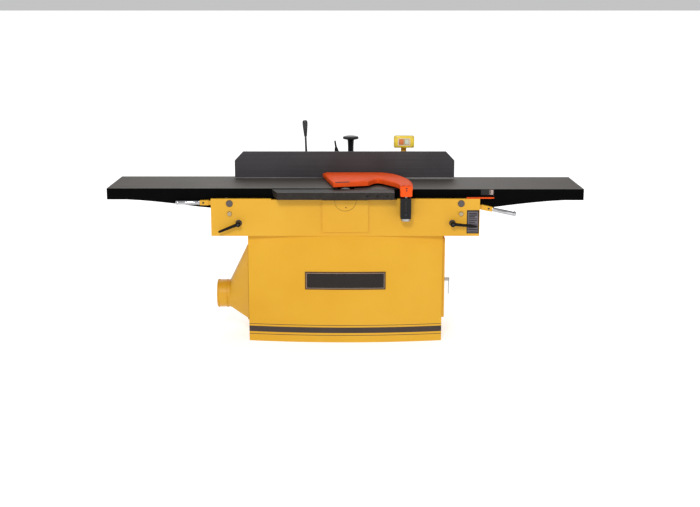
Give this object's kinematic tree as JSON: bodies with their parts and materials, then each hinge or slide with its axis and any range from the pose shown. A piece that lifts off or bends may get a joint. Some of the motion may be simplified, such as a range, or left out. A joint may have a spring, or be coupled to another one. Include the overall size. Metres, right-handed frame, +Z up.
{
  "type": "jointer",
  "caption": "Floor-standing long-bed woodworking jointer: parallelogram tables on eccentric shafts, tilting sliding fence, swinging guard, bowed cabinet with side dust port.",
  "frame": {"origin": "on the floor under the middle of the cabinet, midway along the tables and across their width", "axes": "+X along the tables towards the infeed end, +Y away from the operator, +Z up"},
  "size_m": [2.438, 0.937, 1.1044],
  "materials": {
    "yellow_enamel": "glossy enamel",
    "grey_enamel": "satin",
    "table_iron": "ground top, dark painted sides",
    "black_casting": "black satin paint",
    "bright_steel": "machined",
    "chrome": "polished",
    "black_plastic": "satin",
    "belt_rubber": "matte",
    "orange_plastic": "satin gloss",
    "red_button": "gloss",
    "green_button": "gloss"
  },
  "bodies": {
    "frame": {"base_front": "yellow_enamel", "base_left": "yellow_enamel", "base_right": "yellow_enamel", "base_back": "yellow_enamel", "base_floor": "yellow_enamel", "power_inlet": "black_plastic", "dust_hood": "yellow_enamel", "chip_chute": "grey_enamel", "door_hinge": "bright_steel", "bed": "yellow_enamel", "arbor_cover": "yellow_enamel", "shaft_plug_left": "black_plastic", "shaft_plug_right": "black_plastic", "stop_bolt_left": "bright_steel", "stop_bolt_right": "bright_steel", "info_placard": "black_plastic", "depth_pointer": "orange_plastic", "nameplate": "black_plastic", "bearing_housing_front": "black_casting", "bearing_front": "bright_steel", "bearing_housing_rear": "black_casting", "bearing_rear": "bright_steel", "motor": "grey_enamel", "motor_mount": "black_casting", "belt_guard": "yellow_enamel", "drive_belt": "belt_rubber", "fence_base": "black_casting", "switch_post": "yellow_enamel", "switch_box": "yellow_enamel", "guard_holder": "black_casting"},
    "door": {"access_door": "yellow_enamel"},
    "latch": {"door_latch": "bright_steel"},
    "cutterhead": {"cutterhead": "bright_steel", "cutterhead_pulley": "black_casting"},
    "motor_shaft": {"motor_pulley": "black_casting"},
    "infeed_crank": {"infeed_shaft": "bright_steel", "infeed_lever": "yellow_enamel", "infeed_grip": "chrome"},
    "infeed_inner_crank": {"infeed_inner_shaft": "bright_steel"},
    "infeed_table": {"infeed_table": "table_iron", "rabbet_arm": "table_iron", "depth_scale": "bright_steel"},
    "outfeed_crank": {"outfeed_shaft": "bright_steel", "outfeed_lever": "yellow_enamel", "outfeed_grip": "chrome"},
    "outfeed_inner_crank": {"outfeed_inner_shaft": "bright_steel"},
    "outfeed_table": {"outfeed_table": "table_iron"},
    "lock_left": {"lock_lever_left": "black_plastic"},
    "lock_right": {"lock_lever_right": "black_plastic"},
    "guard_post": {"guard_shaft": "bright_steel"},
    "guard": {"cutter_guard": "orange_plastic"},
    "carriage": {"fence_carriage": "black_casting"},
    "fence": {"fence": "black_casting"},
    "tilt_lock": {"tilt_lock_lever": "black_plastic"},
    "carriage_lock": {"carriage_lock_lever": "black_plastic"},
    "knob": {"carriage_knob": "black_plastic"},
    "stop_button": {"stop_button": "red_button"},
    "start_button": {"start_button": "green_button"}
  },
  "joints": [
    {"name": "infeed_lift", "type": "hinge", "parent": "frame", "child": "infeed_crank", "pos_m": [0.589, 0, 0.734], "axis": [0, -1, 0], "range_deg": [-40, 12.2]},
    {"name": "infeed_level", "type": "hinge", "parent": "infeed_crank", "child": "infeed_table", "pos_m": [0.60881, 0, 0.74357], "axis": [0, -1, 0], "range_deg": [-12.3, 40.1]},
    {"name": "infeed_inner_turn", "type": "hinge", "parent": "frame", "child": "infeed_inner_crank", "pos_m": [0.235, 0, 0.734], "axis": [0, -1, 0], "range_deg": [-40.1, 12.3]},
    {"name": "outfeed_lift", "type": "hinge", "parent": "frame", "child": "outfeed_crank", "pos_m": [-0.589, 0, 0.734], "axis": [0, 1, 0], "range_deg": [-17.9, 3.3]},
    {"name": "outfeed_level", "type": "hinge", "parent": "outfeed_crank", "child": "outfeed_table", "pos_m": [-0.60634, 0, 0.74755], "axis": [0, 1, 0], "range_deg": [-3.4, 18]},
    {"name": "outfeed_inner_turn", "type": "hinge", "parent": "frame", "child": "outfeed_inner_crank", "pos_m": [-0.235, 0, 0.734], "axis": [0, 1, 0], "range_deg": [-18, 3.4]},
    {"name": "cutter_spin", "type": "hinge", "parent": "frame", "child": "cutterhead", "pos_m": [0, 0, 0.761], "axis": [0, 1, 0], "continuous": true},
    {"name": "motor_spin", "type": "hinge", "parent": "frame", "child": "motor_shaft", "pos_m": [0.2, 0, 0.19], "axis": [0, 1, 0], "continuous": true},
    {"name": "door_swing", "type": "hinge", "parent": "frame", "child": "door", "pos_m": [0.51, 0.2145, 0.33], "axis": [0, 0, 1], "range_deg": [0, 110]},
    {"name": "latch_turn", "type": "hinge", "parent": "door", "child": "latch", "pos_m": [0.53, -0.165, 0.3185], "axis": [1, 0, 0], "range_deg": [0, 90]},
    {"name": "lock_left_turn", "type": "hinge", "parent": "frame", "child": "lock_left", "pos_m": [-0.543, -0.258, 0.634], "axis": [0, -1, 0], "range_deg": [-60, 60]},
    {"name": "lock_right_turn", "type": "hinge", "parent": "frame", "child": "lock_right", "pos_m": [0.5455, -0.258, 0.634], "axis": [0, -1, 0], "range_deg": [-60, 60]},
    {"name": "fence_slide", "type": "slide", "parent": "frame", "child": "carriage", "axis": [0, -1, 0], "range_m": [0, 0.2]},
    {"name": "fence_tilt", "type": "hinge", "parent": "carriage", "child": "fence", "pos_m": [0, 0.155, 0.8075], "axis": [1, 0, 0], "range_deg": [-45, 45]},
    {"name": "tilt_lock_turn", "type": "hinge", "parent": "carriage", "child": "tilt_lock", "pos_m": [-0.046, 0.29, 0.922], "axis": [1, 0, 0], "range_deg": [-70, 30]},
    {"name": "carriage_lock_turn", "type": "hinge", "parent": "carriage", "child": "carriage_lock", "pos_m": [-0.213, 0.3, 0.862], "axis": [1, 0, 0], "range_deg": [-50, 0]},
    {"name": "knob_turn", "type": "hinge", "parent": "carriage", "child": "knob", "pos_m": [0.03, 0.335, 0.86], "axis": [0, 0, 1], "range_deg": [-180, 180]},
    {"name": "guard_follow", "type": "hinge", "parent": "frame", "child": "guard_post", "pos_m": [0.305, -0.311, 0.75], "axis": [0, 0, 1], "range_deg": [-0.1, 60.5]},
    {"name": "guard_swing", "type": "hinge", "parent": "guard_post", "child": "guard", "pos_m": [0.305, -0.311, 0.8], "axis": [0, 0, 1], "range_deg": [0, 60], "stiffness_Nm_per_rad": 1.5, "springref_deg": -11.46},
    {"name": "stop_press", "type": "slide", "parent": "frame", "child": "stop_button", "axis": [0, 1, 0], "range_m": [0, 0.004], "stiffness_N_per_m": 600},
    {"name": "start_press", "type": "slide", "parent": "frame", "child": "start_button", "axis": [0, 1, 0], "range_m": [0, 0.004], "stiffness_N_per_m": 600}
  ],
  "couplings": [
    {"joint": "infeed_level", "follows": "infeed_lift", "ratio": -1},
    {"joint": "infeed_inner_turn", "follows": "infeed_lift", "ratio": 1},
    {"joint": "outfeed_level", "follows": "outfeed_lift", "ratio": -1},
    {"joint": "outfeed_inner_turn", "follows": "outfeed_lift", "ratio": 1},
    {"joint": "motor_spin", "follows": "cutter_spin", "ratio": 0.61818},
    {"joint": "guard_follow", "follows": "fence_slide", "rad_per_m": 5.236}
  ]
}
